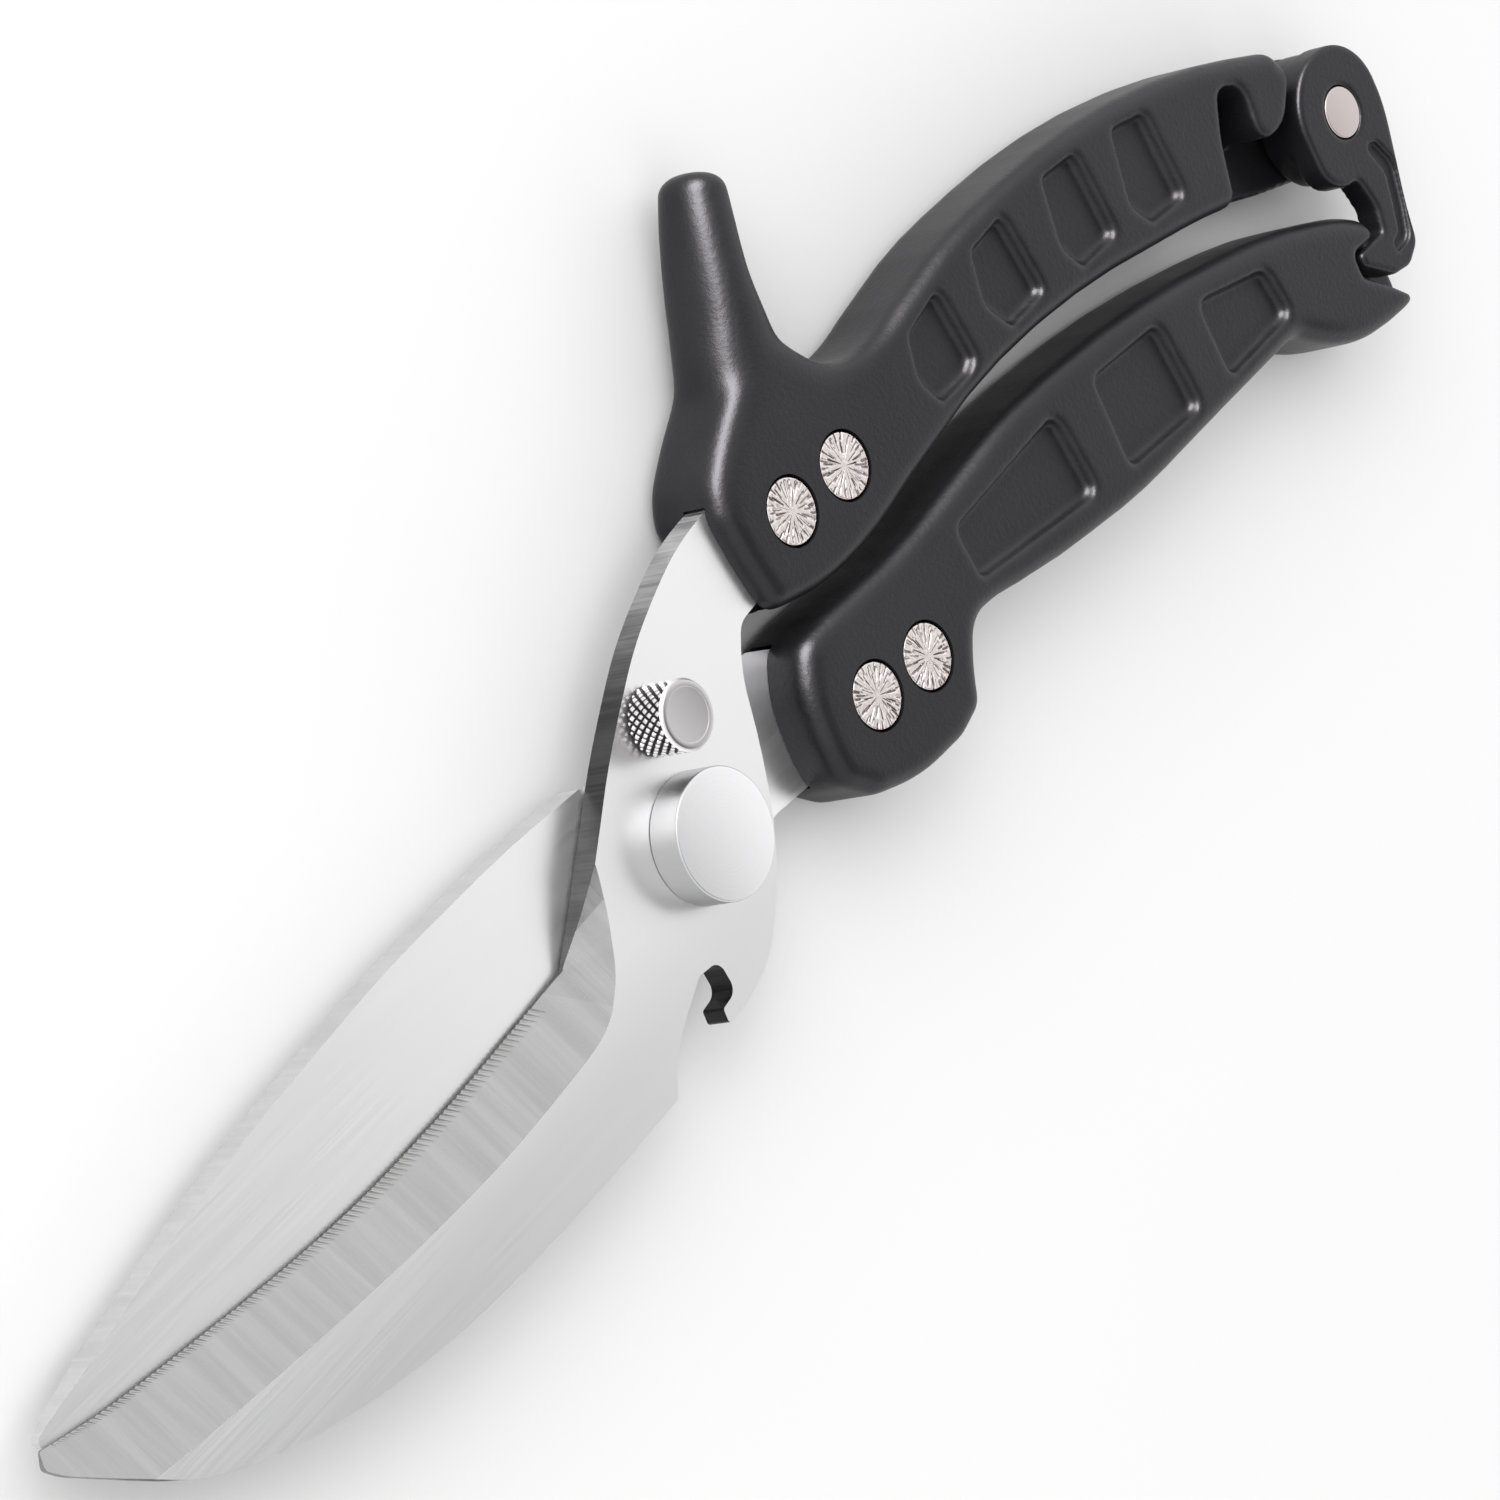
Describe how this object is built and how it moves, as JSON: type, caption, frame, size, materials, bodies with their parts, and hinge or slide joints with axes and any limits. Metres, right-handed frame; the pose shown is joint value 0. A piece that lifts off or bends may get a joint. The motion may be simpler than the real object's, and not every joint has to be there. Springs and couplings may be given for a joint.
{
  "type": "poultry shears",
  "caption": "Spring-opened poultry shears with curved blades, serrated ground edges, an opener notch, a pull knob lock, grip pockets, a finger horn and a handle latch.",
  "frame": {"origin": "on the pivot axis at the rear face of the pivot bolt's head, which is level with the rear faces of the handles", "axes": "+X from the pivot towards the handle ends, +Y towards the horn, +Z along the pivot axis out of the knob and cap side"},
  "size_m": [0.2751, 0.0871, 0.0158],
  "materials": {
    "satin_steel": "satin stainless steel",
    "bright_steel": "turned stainless steel",
    "spring_steel": "spring wire",
    "black_grip": "black moulded nylon with a fine grain"
  },
  "bodies": {
    "upper": {"front_blade": "satin_steel", "upper_handle": "black_grip", "rivet_upper_1": "bright_steel", "rivet_upper_2": "bright_steel", "opening_spring": "spring_steel", "lock_sleeve": "bright_steel", "lock_spring": "spring_steel", "latch_pin": "bright_steel", "latch_washer": "bright_steel"},
    "lower": {"rear_blade": "satin_steel", "lower_handle": "black_grip", "rivet_lower_1": "bright_steel", "rivet_lower_2": "bright_steel", "pivot_bolt": "bright_steel", "pivot_nut": "bright_steel", "cap_washer": "bright_steel", "pivot_cap": "satin_steel"},
    "knob": {"lock_knob": "bright_steel", "lock_pin": "bright_steel"},
    "latch": {"latch": "black_grip"}
  },
  "joints": [
    {"name": "blade_pivot", "type": "hinge", "parent": "upper", "child": "lower", "pos_m": [0, 0, 0.006], "axis": [0, 0, -1], "range_deg": [0, 35]},
    {"name": "latch_pivot", "type": "hinge", "parent": "upper", "child": "latch", "pos_m": [0.1497, 0.0183, 0.009], "axis": [0, 0, 1], "range_deg": [0, 80]},
    {"name": "knob_pull", "type": "slide", "parent": "upper", "child": "knob", "axis": [0, 0, 1], "range_m": [0, 0.0024], "stiffness_N_per_m": 900, "springref_m": -0.0015}
  ]
}
